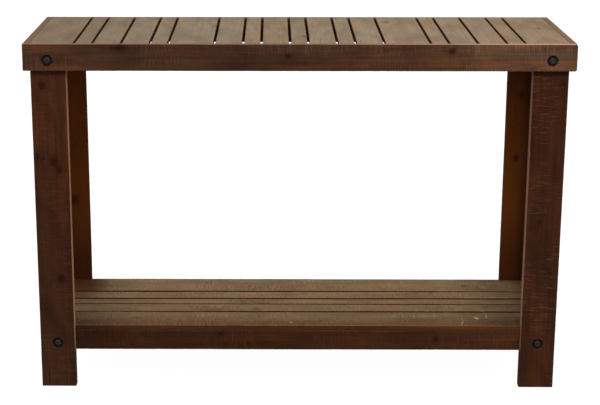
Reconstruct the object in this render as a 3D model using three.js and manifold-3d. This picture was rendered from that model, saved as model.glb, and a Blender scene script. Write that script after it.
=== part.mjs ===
// A slatted potting bench of stained fir: a slatted top inside four aprons, four plank legs
// bolted behind the aprons, and a low slatted shelf bolted between the legs.
// Millimetres, +Z up. The origin is on the floor, under the middle of the bench.
// +X runs along the bench and the front faces -Y.
import * as THREE from "three";
import { mergeVertices } from "three/addons/utils/BufferGeometryUtils.js";
import Module from "manifold-3d";

const wasm = await Module();
wasm.setup();

// ---- Driving dimensions ----
const LENGTH = 1220;
const DEPTH = 400;
const HEIGHT = 810;

const APRON_THICKNESS = 14;
const APRON_HEIGHT = 60;
const REAR_LIP = 5; // what the rebate leaves of the rear apron behind the slats' ends
const APRON_CORNER_LEFT = 1; // radii of the front apron's corners inside their bevel, seen from the front
const APRON_CORNER_RIGHT = 4;

const LEG_WIDTH = 80;
const LEG_THICKNESS = 22;

const SLAT_THICKNESS = 12;
const SLAT_GAP = 5.5;
const CLEAT = 20; // square section of the strips that carry the slats' ends

const SHELF_TOP = 147;
const SHELF_RECESS = 14; // how far the shelf stands back from the legs' faces and outer edges
const RAIL_HEIGHT = 48;
const RAIL_THICKNESS = 20;
const END_RAIL_WIDTH = 38;
const BATTEN_WIDTH = 40;
const BATTEN_HEIGHT = 30;

// Board widths of the random-width pattern: narrow, medium and wide.
const TOP_PATTERN = "WNMMNWMNMNMNMWNMMNW";
const SHELF_PATTERN = "WMNMW";
const NARROW = 35;
const TOP_MEDIUM = 58;
const SHELF_MEDIUM = 50;

const EASE = 1.5; // flat taken off the long edges of a board
const END_EASE = 1; // flat taken off its end edges

const BOLT_DIAMETER = 7.8;
const BOLT_HOLE = 8.4;
const HEAD_ACROSS_FLATS = 13;
const HEAD_HEIGHT = 4.6;
const WASHER_DIAMETER = 22;
const WASHER_HOLE = 8.6;
const WASHER_THICKNESS = 1.6;
const COUNTERBORE_DIAMETER = 25;
const COUNTERBORE_DEPTH = 7;
const APRON_BOLT_LENGTH = 26; // under the head
const SHELF_BOLT_LENGTH = 60;
const APRON_BOLT_DROP = 37; // below the top surface
const SEAT_GAP = 0.3; // between the washer and the cut floor of its counterbore
const HEAD_GAP = 0.1; // between the bolt's head and its washer
const TIP_CLEARANCE = 2; // hole left beyond a bolt's point

// ---- Derived places ----
const frontFace = -DEPTH / 2;
const apronBack = frontFace + APRON_THICKNESS; // the front apron's inner face, and the legs' outer face
const legBack = apronBack + LEG_THICKNESS;
const legOuter = LENGTH / 2 - APRON_THICKNESS;
const legInner = legOuter - LEG_WIDTH;
const legCentre = legOuter - LEG_WIDTH / 2;
const slatBottom = HEIGHT - SLAT_THICKNESS;
const shelfBoardBottom = SHELF_TOP - SLAT_THICKNESS;
const railBottom = shelfBoardBottom - RAIL_HEIGHT;
const shelfFront = apronBack + SHELF_RECESS;
const shelfEnd = legOuter - SHELF_RECESS;
const railBack = shelfFront + RAIL_THICKNESS;
const shelfBoltHeight = railBottom + RAIL_HEIGHT * 0.42;

// ---- Materials ----
const wood = {
  top: { color: 0x7d6246, roughness: 0.78 },
  shelf: { color: 0x66503a, roughness: 0.8 },
  apron: { color: 0x4a2f22, roughness: 0.72 },
  leg: { color: 0x3f2619, roughness: 0.74 },
  hidden: { color: 0x4b3526, roughness: 0.82 },
};
const metal = { color: 0x24262a, roughness: 0.5, metalness: 0.85 };

const bench = new THREE.Group();

function addMesh(name, geometry, look) {
  const material = new THREE.MeshStandardMaterial({ metalness: 0, ...look });
  const mesh = new THREE.Mesh(geometry, material);
  mesh.name = name;
  bench.add(mesh);
  return mesh;
}

// ---- Solids ----
function toSolid(geometry) {
  const bare = geometry.clone();
  bare.deleteAttribute("normal");
  bare.deleteAttribute("uv");
  const merged = mergeVertices(bare, 1e-4);
  return new wasm.Manifold(
    new wasm.Mesh({
      numProp: 3,
      vertProperties: new Float32Array(merged.attributes.position.array),
      triVerts: new Uint32Array(merged.index.array),
    }),
  );
}

function toGeometry(solid) {
  const mesh = solid.getMesh();
  const geometry = new THREE.BufferGeometry();
  geometry.setAttribute("position", new THREE.BufferAttribute(mesh.vertProperties, 3));
  geometry.setIndex(new THREE.BufferAttribute(mesh.triVerts, 1));
  geometry.computeVertexNormals();
  return geometry;
}

function subtract(geometry, cutters) {
  let solid = toSolid(geometry);
  for (const cutter of cutters) solid = solid.subtract(toSolid(cutter));
  return toGeometry(solid);
}

// A rectangle about the origin whose four corners are cut off by flats.
function easedRectangle(width, height, flat) {
  const x = width / 2;
  const y = height / 2;
  const shape = new THREE.Shape();
  shape.moveTo(-x + flat, -y);
  shape.lineTo(x - flat, -y);
  shape.lineTo(x, -y + flat);
  shape.lineTo(x, y - flat);
  shape.lineTo(x - flat, y);
  shape.lineTo(-x + flat, y);
  shape.lineTo(-x, y - flat);
  shape.lineTo(-x, -y + flat);
  shape.closePath();
  return shape;
}

// Extrudes an outline drawn END_EASE inside the finished one, so that its bevel ends on the true size.
function extrudeEased(shape, length) {
  const geometry = new THREE.ExtrudeGeometry(shape, {
    depth: length - 2 * END_EASE,
    bevelEnabled: true,
    bevelSegments: 1,
    bevelThickness: END_EASE,
    bevelSize: END_EASE,
    curveSegments: 6,
  });
  return geometry.translate(0, 0, END_EASE - length / 2);
}

// A straight board between two corners, its long edges eased, its grain along "x", "y" or "z".
function board(low, high, grain) {
  const size = high.map((value, axis) => value - low[axis]);
  const centre = high.map((value, axis) => (value + low[axis]) / 2);
  const axis = "xyz".indexOf(grain);
  const across = (axis + 1) % 3;
  const up = (axis + 2) % 3;
  const flat = EASE - END_EASE * (2 - Math.SQRT2);
  const outline = easedRectangle(size[across] - 2 * END_EASE, size[up] - 2 * END_EASE, flat);
  const geometry = extrudeEased(outline, size[axis]);
  if (grain === "x") geometry.applyMatrix4(basis([0, 1, 0], [0, 0, 1], [1, 0, 0]));
  if (grain === "y") geometry.applyMatrix4(basis([0, 0, 1], [1, 0, 0], [0, 1, 0]));
  return geometry.translate(...centre);
}

// The rotation that turns the drawing's x, y and z axes to these directions.
function basis(x, y, z) {
  return new THREE.Matrix4().makeBasis(
    new THREE.Vector3(...x),
    new THREE.Vector3(...y),
    new THREE.Vector3(...z),
  );
}

// A round bar along Y between two distances, centred on (x, z).
function barAlongY(x, z, from, to, diameter, sides = 32) {
  const radius = diameter / 2;
  const bar = new THREE.CylinderGeometry(radius, radius, Math.abs(to - from), sides);
  return bar.translate(x, (from + to) / 2, z);
}

// The cutters of one counterbored hole. side is -1 at the front and 1 at the rear.
// face is the distance of the outer face from the middle, and deep that of the hole's inner end.
function counterbore(x, z, side, face, deep) {
  const outside = face + 1;
  const floor = face - COUNTERBORE_DEPTH;
  return [
    barAlongY(x, z, side * outside, side * floor, COUNTERBORE_DIAMETER, 40),
    barAlongY(x, z, side * outside, side * deep, BOLT_HOLE),
  ];
}

// Distances from the middle, for a bolt whose counterbore is cut into a face at the distance face.
function boltSeat(face) {
  return face - COUNTERBORE_DEPTH + SEAT_GAP + WASHER_THICKNESS + HEAD_GAP;
}

function boltTip(face, length) {
  return boltSeat(face) - length;
}

// ---- The top ----
function boardWidths(pattern, room, medium) {
  const count = (letter) => [...pattern].filter((one) => one === letter).length;
  const taken = count("N") * NARROW + count("M") * medium + (pattern.length - 1) * SLAT_GAP;
  const wide = (room - taken) / count("W");
  return [...pattern].map((letter) => ({ N: NARROW, M: medium, W: wide })[letter]);
}

function addTopSlats() {
  let left = -legOuter;
  boardWidths(TOP_PATTERN, 2 * legOuter, TOP_MEDIUM).forEach((width, index) => {
    const low = [left, apronBack, slatBottom];
    const high = [left + width, -frontFace - REAR_LIP, HEIGHT];
    const number = String(index + 1).padStart(2, "0");
    addMesh("top_slat_" + number, board(low, high, "y"), wood.top);
    left += width + SLAT_GAP;
  });
}

// The front apron, drawn in elevation with the radius of each end's corners.
function addFrontApron() {
  const x = LENGTH / 2 - END_EASE;
  const y = APRON_HEIGHT / 2 - END_EASE;
  const left = APRON_CORNER_LEFT;
  const right = APRON_CORNER_RIGHT;
  const shape = new THREE.Shape();
  shape.moveTo(-x + left, -y);
  shape.lineTo(x - right, -y);
  shape.absarc(x - right, -y + right, right, -Math.PI / 2, 0, false);
  shape.absarc(x - right, y - right, right, 0, Math.PI / 2, false);
  shape.absarc(-x + left, y - left, left, Math.PI / 2, Math.PI, false);
  shape.absarc(-x + left, -y + left, left, Math.PI, Math.PI * 1.5, false);
  const plank = extrudeEased(shape, APRON_THICKNESS);
  plank.applyMatrix4(basis([1, 0, 0], [0, 0, 1], [0, -1, 0]));
  plank.translate(0, frontFace + APRON_THICKNESS / 2, HEIGHT - APRON_HEIGHT / 2);
  const holes = [-1, 1].flatMap((end) => apronHole(end, -1));
  addMesh("front_apron", subtract(plank, holes), wood.apron);
}

function apronHole(end, side) {
  const deep = boltTip(DEPTH / 2, APRON_BOLT_LENGTH) - TIP_CLEARANCE;
  return counterbore(end * legCentre, HEIGHT - APRON_BOLT_DROP, side, DEPTH / 2, deep);
}

// The rear apron has a rebate along its top inner edge, in which the slats' rear ends lie.
function addRearApron() {
  const low = [-LENGTH / 2, -apronBack, HEIGHT - APRON_HEIGHT];
  const high = [LENGTH / 2, DEPTH / 2, HEIGHT];
  const rebateDepth = APRON_THICKNESS - REAR_LIP;
  const rebate = new THREE.BoxGeometry(2 * legOuter, rebateDepth + 1, SLAT_THICKNESS + 1);
  rebate.translate(
    0,
    DEPTH / 2 - REAR_LIP - (rebateDepth + 1) / 2,
    slatBottom + (SLAT_THICKNESS + 1) / 2,
  );
  const holes = [-1, 1].flatMap((end) => apronHole(end, 1));
  addMesh("rear_apron", subtract(board(low, high, "x"), [rebate, ...holes]), wood.apron);
}

function addEndApron(name, end) {
  const inner = end * legOuter;
  const outer = (end * LENGTH) / 2;
  const low = [Math.min(inner, outer), apronBack, HEIGHT - APRON_HEIGHT];
  const high = [Math.max(inner, outer), -apronBack, HEIGHT];
  addMesh(name, board(low, high, "y"), wood.apron);
}

function addCleat(name, side) {
  const y = [side * Math.abs(apronBack), side * (Math.abs(apronBack) - CLEAT)];
  const low = [-legInner, Math.min(...y), slatBottom - CLEAT];
  const high = [legInner, Math.max(...y), slatBottom];
  addMesh(name, board(low, high, "x"), wood.hidden);
}

// ---- Legs ----
function addLeg(name, end, side) {
  const x = [end * legInner, end * legOuter];
  const y = [side * Math.abs(legBack), side * Math.abs(apronBack)];
  const low = [Math.min(...x), Math.min(...y), 0];
  const high = [Math.max(...x), Math.max(...y), slatBottom];
  const face = Math.abs(apronBack);
  const through = Math.abs(legBack) - 1;
  const shelfHole = counterbore(end * legCentre, shelfBoltHeight, side, face, through);
  const apronBolt = apronHole(end, side)[1];
  addMesh(name, subtract(board(low, high, "z"), [...shelfHole, apronBolt]), wood.leg);
}

// ---- The shelf ----
function addShelfRail(name, side) {
  const y = [side * Math.abs(shelfFront), side * Math.abs(railBack)];
  const low = [-legInner, Math.min(...y), railBottom];
  const high = [legInner, Math.max(...y), shelfBoardBottom];
  addMesh(name, board(low, high, "x"), wood.leg);
}

// An end rail runs from the front leg to the rear leg, and the shelf bolts turn into its ends.
function addEndRail(name, end) {
  const centre = end * legCentre;
  const low = [centre - END_RAIL_WIDTH / 2, legBack, railBottom];
  const high = [centre + END_RAIL_WIDTH / 2, -legBack, shelfBoardBottom];
  const outer = Math.abs(legBack) + 1;
  const inner = boltTip(Math.abs(apronBack), SHELF_BOLT_LENGTH) - TIP_CLEARANCE;
  const holes = [-1, 1].map((side) =>
    barAlongY(centre, shelfBoltHeight, side * outer, side * inner, BOLT_HOLE),
  );
  addMesh(name, subtract(board(low, high, "y"), holes), wood.hidden);
}

function addBatten(name, centre) {
  const low = [centre - BATTEN_WIDTH / 2, railBack, shelfBoardBottom - BATTEN_HEIGHT];
  const high = [centre + BATTEN_WIDTH / 2, -railBack, shelfBoardBottom];
  addMesh(name, board(low, high, "y"), wood.hidden);
}

// The outer boards have their corners cut out to go round the legs.
function addShelfBoards() {
  const widths = boardWidths(SHELF_PATTERN, 2 * Math.abs(shelfFront), SHELF_MEDIUM);
  let front = shelfFront;
  widths.forEach((width, index) => {
    const low = [-shelfEnd, front, shelfBoardBottom];
    const high = [shelfEnd, front + width, SHELF_TOP];
    const plain = board(low, high, "x");
    const notchSide = { 0: -1, [widths.length - 1]: 1 }[index];
    const geometry = notchSide ? subtract(plain, legNotches(notchSide)) : plain;
    addMesh("shelf_board_" + (index + 1), geometry, wood.shelf);
    front += width + SLAT_GAP;
  });
}

function legNotches(side) {
  const deep = LEG_THICKNESS - SHELF_RECESS;
  return [-1, 1].map((end) =>
    new THREE.BoxGeometry(LEG_WIDTH, 2 * deep, 2 * SLAT_THICKNESS).translate(
      end * legCentre,
      side * Math.abs(shelfFront),
      shelfBoardBottom + SLAT_THICKNESS / 2,
    ),
  );
}

// ---- Bolts and washers ----
// A hexagon-headed coach screw along Y, its head outwards, with its point at the end of its length.
function addBolt(name, end, z, side, face, length) {
  const headFrom = boltSeat(face);
  const tip = boltTip(face, length);
  const headRadius = HEAD_ACROSS_FLATS / Math.sqrt(3);
  const head = new THREE.CylinderGeometry(headRadius * 0.9, headRadius, HEAD_HEIGHT, 6);
  head.translate(0, headFrom + HEAD_HEIGHT / 2, 0);
  const radius = BOLT_DIAMETER / 2;
  const profile = [
    new THREE.Vector2(0, tip),
    new THREE.Vector2(radius, tip + 2 * radius),
    new THREE.Vector2(radius, headFrom + HEAD_HEIGHT / 2),
    new THREE.Vector2(0, headFrom + HEAD_HEIGHT / 2),
  ];
  const shank = new THREE.LatheGeometry(profile, 20);
  const bolt = toGeometry(toSolid(head).add(toSolid(shank)));
  if (side < 0) bolt.rotateZ(Math.PI);
  addMesh(name, bolt.translate(end * legCentre, 0, z), metal);
}

function addWasher(name, end, z, side, face) {
  const seat = face - COUNTERBORE_DEPTH + SEAT_GAP;
  const inner = WASHER_HOLE / 2;
  const outer = WASHER_DIAMETER / 2;
  const profile = [
    new THREE.Vector2(inner, seat),
    new THREE.Vector2(outer, seat),
    new THREE.Vector2(outer, seat + WASHER_THICKNESS),
    new THREE.Vector2(inner, seat + WASHER_THICKNESS),
    new THREE.Vector2(inner, seat),
  ];
  const ring = new THREE.LatheGeometry(profile, 32);
  if (side < 0) ring.rotateZ(Math.PI);
  addMesh(name, ring.translate(end * legCentre, 0, z), metal);
}

function addFasteners(place, end, side) {
  const apronHeight = HEIGHT - APRON_BOLT_DROP;
  const legFace = Math.abs(apronBack);
  addBolt("apron_bolt_" + place, end, apronHeight, side, DEPTH / 2, APRON_BOLT_LENGTH);
  addWasher("apron_washer_" + place, end, apronHeight, side, DEPTH / 2);
  addBolt("shelf_bolt_" + place, end, shelfBoltHeight, side, legFace, SHELF_BOLT_LENGTH);
  addWasher("shelf_washer_" + place, end, shelfBoltHeight, side, legFace);
}

// ---- Assembly ----
addTopSlats();
addFrontApron();
addRearApron();
addEndApron("left_apron", -1);
addEndApron("right_apron", 1);
addCleat("front_cleat", -1);
addCleat("rear_cleat", 1);

const corners = { front_left: [-1, -1], front_right: [1, -1], rear_left: [-1, 1], rear_right: [1, 1] };
for (const [place, [end, side]] of Object.entries(corners)) {
  addLeg(place + "_leg", end, side);
  addFasteners(place, end, side);
}

addShelfRail("shelf_front_rail", -1);
addShelfRail("shelf_rear_rail", 1);
addEndRail("shelf_left_rail", -1);
addEndRail("shelf_right_rail", 1);
const endBatten = legCentre - (END_RAIL_WIDTH + BATTEN_WIDTH) / 2;
addBatten("shelf_batten_left", -endBatten);
addBatten("shelf_batten_middle", 0);
addBatten("shelf_batten_right", endBatten);
addShelfBoards();

export default bench;
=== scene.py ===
"""The finished look of a slatted potting bench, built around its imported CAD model.

Every plank is a dense grid with worn arrises, saw ridges, a slow swell and its real holes and
notches. Bolts and washers are turned in code. All finishes are procedural. Lengths are in metres.
"""

import math

import bpy
import numpy as np
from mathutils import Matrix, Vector


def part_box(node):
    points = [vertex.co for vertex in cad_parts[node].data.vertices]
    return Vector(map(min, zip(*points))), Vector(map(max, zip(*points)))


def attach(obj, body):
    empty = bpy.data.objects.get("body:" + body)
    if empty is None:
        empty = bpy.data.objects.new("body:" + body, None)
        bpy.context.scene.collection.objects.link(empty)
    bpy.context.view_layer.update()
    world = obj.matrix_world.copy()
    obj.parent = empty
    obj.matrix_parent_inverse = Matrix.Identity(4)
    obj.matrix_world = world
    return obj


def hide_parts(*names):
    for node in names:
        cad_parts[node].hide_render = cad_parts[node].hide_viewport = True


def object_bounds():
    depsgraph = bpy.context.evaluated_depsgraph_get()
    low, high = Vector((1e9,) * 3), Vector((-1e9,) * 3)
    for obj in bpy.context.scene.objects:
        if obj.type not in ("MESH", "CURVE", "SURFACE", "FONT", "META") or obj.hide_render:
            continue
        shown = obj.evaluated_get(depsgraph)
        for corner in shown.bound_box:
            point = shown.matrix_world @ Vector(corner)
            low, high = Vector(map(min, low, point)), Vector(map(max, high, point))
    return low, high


MM = 0.001

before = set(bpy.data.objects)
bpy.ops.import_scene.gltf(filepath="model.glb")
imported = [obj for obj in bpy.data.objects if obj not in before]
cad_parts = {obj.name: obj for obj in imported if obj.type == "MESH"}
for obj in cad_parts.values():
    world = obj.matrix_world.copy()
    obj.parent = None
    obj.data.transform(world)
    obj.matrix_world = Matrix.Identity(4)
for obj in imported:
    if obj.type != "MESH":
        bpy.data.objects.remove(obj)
cad_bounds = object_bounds()
TOP_HEIGHT = cad_bounds[1][2]


# ---- Repeatable noise on arrays of points ----
def scatter(ix, iy, iz, seed):
    """A repeatable number from -1 to 1 for every whole-number point."""
    mask = 0xFFFFFFFF
    mixed = (ix * 374761393 + iy * 668265263 + iz * 1440662683 + seed * 1274126177) & mask
    mixed = ((mixed ^ (mixed >> 13)) * 1274126177) & mask
    mixed = ((mixed ^ (mixed >> 15)) * 2246822519) & mask
    return (mixed ^ (mixed >> 16)) / 2147483647.5 - 1.0


def noise(points, scale, seed):
    """Smooth noise from -1 to 1. scale is the size of its features along each axis."""
    cells = points / np.asarray(scale)
    base = np.floor(cells).astype(np.int64)
    part = cells - base
    ease = part * part * (3.0 - 2.0 * part)
    total = np.zeros(len(points))
    for corner in range(8):
        step = np.array([corner & 1, (corner >> 1) & 1, (corner >> 2) & 1])
        weight = np.prod(np.where(step == 1, ease, 1.0 - ease), axis=1)
        at = base + step
        total += weight * scatter(at[:, 0], at[:, 1], at[:, 2], seed)
    return total


def near(gap, width):
    """1 where the gap is nothing, falling to 0 at this width."""
    return np.clip(1 - gap / width, 0, 1)


def rise(values, start, end):
    """0 at start and 1 at end, even between them and level beyond. start may be above end."""
    return np.clip((values - start) / (end - start), 0, 1)


# ---- Plank meshes ----
GRAIN_AXIS = {"x": 0, "y": 1, "z": 2}
ARRIS_STEPS = np.array([0.0, 0.5, 1.2, 2.2, 3.6]) * MM  # grid lines beside an edge


def grid_lines(low, high, spacing):
    """Positions from low to high, close together beside the edges and even between them."""
    reach = min(1.0, 0.45 * (high - low) / ARRIS_STEPS[-1])
    near = ARRIS_STEPS * reach
    count = max(1, math.ceil((high - low - 2 * near[-1]) / spacing))
    middle = np.linspace(low + near[-1], high - near[-1], count + 1)
    return np.concatenate([low + near[:-1], middle, high - near[:-1][::-1]])


def box_surface(lines):
    """Points and quads of a closed box surface gridded by three lists of positions."""
    counts = [len(positions) for positions in lines]
    quads = []
    for axis in range(3):
        a, b = (axis + 1) % 3, (axis + 2) % 3
        i, j = np.meshgrid(np.arange(counts[a] - 1), np.arange(counts[b] - 1), indexing="ij")
        for end in (0, counts[axis] - 1):
            corners = np.zeros(i.shape + (4, 3), dtype=np.int64)
            for corner, (di, dj) in enumerate(((0, 0), (1, 0), (1, 1), (0, 1))):
                corners[..., corner, axis] = end
                corners[..., corner, a] = i + di
                corners[..., corner, b] = j + dj
            faces = corners.reshape(-1, 4, 3)
            quads.append(faces[:, ::-1] if end == 0 else faces)
    quads = np.concatenate(quads)
    keys = quads @ np.array([1, counts[0], counts[0] * counts[1]])
    unique, indices = np.unique(keys, return_inverse=True)
    index_x = unique % counts[0]
    index_y = unique // counts[0] % counts[1]
    index_z = unique // (counts[0] * counts[1])
    points = np.stack([lines[0][index_x], lines[1][index_y], lines[2][index_z]], axis=1)
    return points, indices.reshape(-1, 4)


def soften(points, low, high, radius):
    """Rounds a box's edges. radius has one value per point."""
    margin = radius[:, None]
    inner = np.clip(points, low + margin, high - margin)
    out = points - inner
    length = np.linalg.norm(out, axis=1, keepdims=True)
    return inner + out * margin / np.maximum(length, 1e-9)


def make_object(name, points, faces):
    mesh = bpy.data.meshes.new(name)
    mesh.from_pydata(points.tolist(), [], faces.tolist() if hasattr(faces, "tolist") else faces)
    mesh.update()
    made = bpy.data.objects.new(name, mesh)
    bpy.context.scene.collection.objects.link(made)
    return made


def mesh_points(mesh):
    flat = np.empty(len(mesh.vertices) * 3)
    mesh.vertices.foreach_get("co", flat)
    return flat.reshape(-1, 3)


def cut(piece, cutters):
    """Takes the cutters out of a piece, and removes them."""
    for cutter in cutters:
        modifier = piece.modifiers.new("cut", "BOOLEAN")
        modifier.operation = "DIFFERENCE"
        modifier.object = cutter
        modifier.solver = "MANIFOLD"
    bpy.context.view_layer.update()
    evaluated = piece.evaluated_get(bpy.context.evaluated_depsgraph_get())
    finished = bpy.data.meshes.new_from_object(evaluated)
    piece.modifiers.clear()
    old = piece.data
    piece.data = finished
    bpy.data.meshes.remove(old)
    for cutter in cutters:
        mesh = cutter.data
        bpy.data.objects.remove(cutter)
        bpy.data.meshes.remove(mesh)


# ---- Where the holes are: the same sizes as the CAD model's ----
COUNTERBORE_RADIUS = 12.5 * MM
COUNTERBORE_DEPTH = 7 * MM
HOLE_RADIUS = 4.2 * MM
HOLE_POINTS = 72  # around a hole


def turned(centre, side, profile):
    """A cutter about a line along Y, through (distance outwards, radius) pairs."""
    rings = [(distance, np.full(HOLE_POINTS, radius)) for distance, radius in profile]
    return ringed_solid("cutter", centre, side, rings)


def counterbore_cutter(centre, side, face, deep):
    """The cutter of a counterbored hole whose mouth is slightly worn open."""
    floor = face - COUNTERBORE_DEPTH
    profile = [
        (deep, HOLE_RADIUS),
        (floor, HOLE_RADIUS),
        (floor, COUNTERBORE_RADIUS),
        (face - 0.9 * MM, COUNTERBORE_RADIUS),
        (face - 0.3 * MM, COUNTERBORE_RADIUS + 0.25 * MM),
        (face, COUNTERBORE_RADIUS + 0.7 * MM),
        (face + 1 * MM, COUNTERBORE_RADIUS + 1.6 * MM),
    ]
    return turned(centre, side, profile)


def plain_hole_cutter(centre, side, outer, inner):
    return turned(centre, side, [(inner, HOLE_RADIUS), (outer, HOLE_RADIUS)])


def box_cutter(low, high):
    lines = [np.array([low[axis], high[axis]]) for axis in range(3)]
    points, quads = box_surface(lines)
    return make_object("cutter", points, quads)


def bolt_centre(node):
    """The line of a bolt, as (x, z)."""
    low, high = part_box(node)
    return (low.x + high.x) / 2, (low.z + high.z) / 2


# Distances from the bench's middle, towards its front or its rear.
APRON_FACE = 200 * MM
LEG_FACE = 186 * MM
LEG_BACK = 164 * MM
RAIL_HOLE_END = 118 * MM  # where a shelf bolt's hole ends inside an end rail
REBATE_START = 150 * MM  # where the rebate's cutter starts, clear of the rear apron
OUTSIDE = 300 * MM  # past the whole bench

NOTCH_HEIGHTS = (120 * MM, 161 * MM)  # from under the shelf's boards to over them
ENDS = ("left", "right")
ROWS = (("front", -1), ("rear", 1))  # each row of legs, and its side of the middle
HAIR = 0.02 * MM  # by which a cutter passes a mesh line that it would otherwise meet


def apron_cutters(row, side):
    return [
        counterbore_cutter(bolt_centre(f"apron_bolt_{row}_{end}"), side, APRON_FACE, LEG_BACK)
        for end in ENDS
    ]


def leg_cutters(row, end, side):
    shelf_bolt = bolt_centre(f"shelf_bolt_{row}_{end}")
    apron_bolt = bolt_centre(f"apron_bolt_{row}_{end}")
    return [
        counterbore_cutter(shelf_bolt, side, LEG_FACE, LEG_BACK - 1 * MM),
        plain_hole_cutter(apron_bolt, side, LEG_FACE + 1 * MM, LEG_BACK + 3 * MM),
    ]


def end_rail_cutters(end):
    return [
        plain_hole_cutter(
            bolt_centre(f"shelf_bolt_{row}_{end}"), side, LEG_BACK + 1 * MM, RAIL_HOLE_END
        )
        for row, side in ROWS
    ]


def notch_cutters(row, side):
    """The corners that an outer shelf board leaves for the legs."""
    low_y, high_y = sorted((side * LEG_BACK, side * OUTSIDE))
    bottom, top = NOTCH_HEIGHTS
    cutters = []
    for end in ENDS:
        low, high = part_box(f"{row}_{end}_leg")
        cutters.append(box_cutter((low.x - HAIR, low_y, bottom), (high.x + HAIR, high_y, top)))
    return cutters


def rebate_cutter():
    """The step along the rear apron that takes the slats' ends."""
    low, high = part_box("top_slat_01")
    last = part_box("top_slat_19")[1]
    far_corner = (last.x + HAIR, high.y, high.z + 1 * MM)
    return box_cutter((low.x - HAIR, REBATE_START, low.z), far_corner)


# ---- Planks ----
WIDE_SPACING = 6 * MM

# How round and chipped a board's arrises are, and how deep its slow swell and saw ridges go.
SAWN = {"round": 1.3 * MM, "chips": 1.6 * MM, "swell": 0.22 * MM, "saw": 0.26 * MM}
TOP = {"round": 1.4 * MM, "chips": 1.5 * MM, "swell": 0.22 * MM, "saw": 0.20 * MM}
HIDDEN = {"round": 1.2 * MM, "chips": 1.0 * MM, "swell": 0.20 * MM, "saw": 0.20 * MM}

LEAST_ARRIS = 0.6 * MM
MOST_ARRIS = 2.6 * MM
END_ARRIS = 1.3 * MM  # the most at a board's very end
END_STRETCH = 25 * MM  # over which the arrises narrow to that

# The size of each feature of a board's relief, along the grain and across it.
SWELL_SIZE = (0.22, 0.02)
RIDGE_SIZE = (0.0055, 0.07)
PATCH_SIZE = (0.12, 0.05)
END_LEAN = 0.3  # how much the relief at the edges of a board's ends goes along the grain
TOUCHING = 1e-7


def stretched(axis, along, across):
    """A feature size that is long or short along one axis."""
    size = np.full(3, across)
    size[axis] = along
    return size


def arris_radius(points, low, high, axis, shape, seed):
    """The radius of the nearest edge at each point. It wanders, with a chip here and there.

    Each edge draws from a line of its own through the noise.
    """
    line = np.zeros_like(points)
    line[:, 0] = points[:, axis]
    sides = np.sign(points - (low + high) / 2)
    sides[:, axis] = 0
    line[:, 1] = sides @ np.array([3.0, 7.0, 13.0])
    wobble = noise(line, (0.11, 1, 1), seed) + 0.6 * noise(line, (0.023, 1, 1), seed + 1)
    chips = np.maximum(0, noise(line, (0.009, 1, 1), seed + 2) - 0.45)
    radius = shape["round"] * (1 + 0.32 * wobble) + shape["chips"] * chips
    thickness = np.min(np.delete(high - low, axis))
    radius = np.clip(radius, LEAST_ARRIS, min(MOST_ARRIS, 0.3 * thickness))
    end_gap = np.minimum(points[:, axis] - low[axis], high[axis] - points[:, axis])
    towards_end = near(end_gap, END_STRETCH)
    return radius + (np.minimum(radius, END_ARRIS) - radius) * towards_end


def round_corners(points, low, high, side, radius):
    """Rounds a board's upper and lower corners at its left (0) or right (1) end, seen from the front."""
    centre_x = (low[0] + radius, high[0] - radius)[side]
    outwards = (-1, 1)[side]
    past = np.maximum(0, (points[:, 0] - centre_x) * outwards)
    above = np.maximum(0, points[:, 2] - (high[2] - radius))
    under = np.maximum(0, low[2] + radius - points[:, 2])
    reach = np.hypot(past, above + under)
    outside = (reach > radius) & (past > 0) & (above + under > 0)
    pull = 1 - radius / reach[outside]
    points[outside, 0] -= outwards * past[outside] * pull
    points[outside, 2] -= (above - under)[outside] * pull


def plank_shape(node, grain, spacing, shape, seed, corners):
    """Points and quads of one plank. Its relief is taken inwards from the CAD board's faces."""
    low, high = (np.array(corner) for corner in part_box(node))
    axis = GRAIN_AXIS[grain]
    spacings = stretched(axis, spacing, WIDE_SPACING)
    lines = [grid_lines(low[i], high[i], spacings[i]) for i in range(3)]
    points, quads = box_surface(lines)
    radius = arris_radius(points, low, high, axis, shape, seed)
    shaped = soften(points, low, high, radius)

    swell = 0.5 + 0.5 * noise(points, stretched(axis, *SWELL_SIZE), seed + 3)
    slanted = points.copy()
    across = [i for i in range(3) if i != axis]
    slanted[:, axis] += 0.07 * points[:, across[0]] + 0.05 * points[:, across[1]]
    ridges = 0.5 + 0.5 * noise(slanted, stretched(axis, *RIDGE_SIZE), seed + 4)
    patches = np.clip(0.5 + noise(points, stretched(axis, *PATCH_SIZE), seed + 5), 0, 1)
    depth = shape["swell"] * swell + shape["saw"] * ridges * patches

    at_low = (points - low < TOUCHING).astype(float)
    at_high = (high - points < TOUCHING).astype(float)
    normal = at_high - at_low
    normal[:, axis] *= END_LEAN
    length = np.maximum(np.linalg.norm(normal, axis=1, keepdims=True), 1e-9)
    relief = shaped - normal / length * depth[:, None]
    for side, corner in enumerate(corners):
        round_corners(relief, low, high, side, corner)
    return relief, quads


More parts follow.
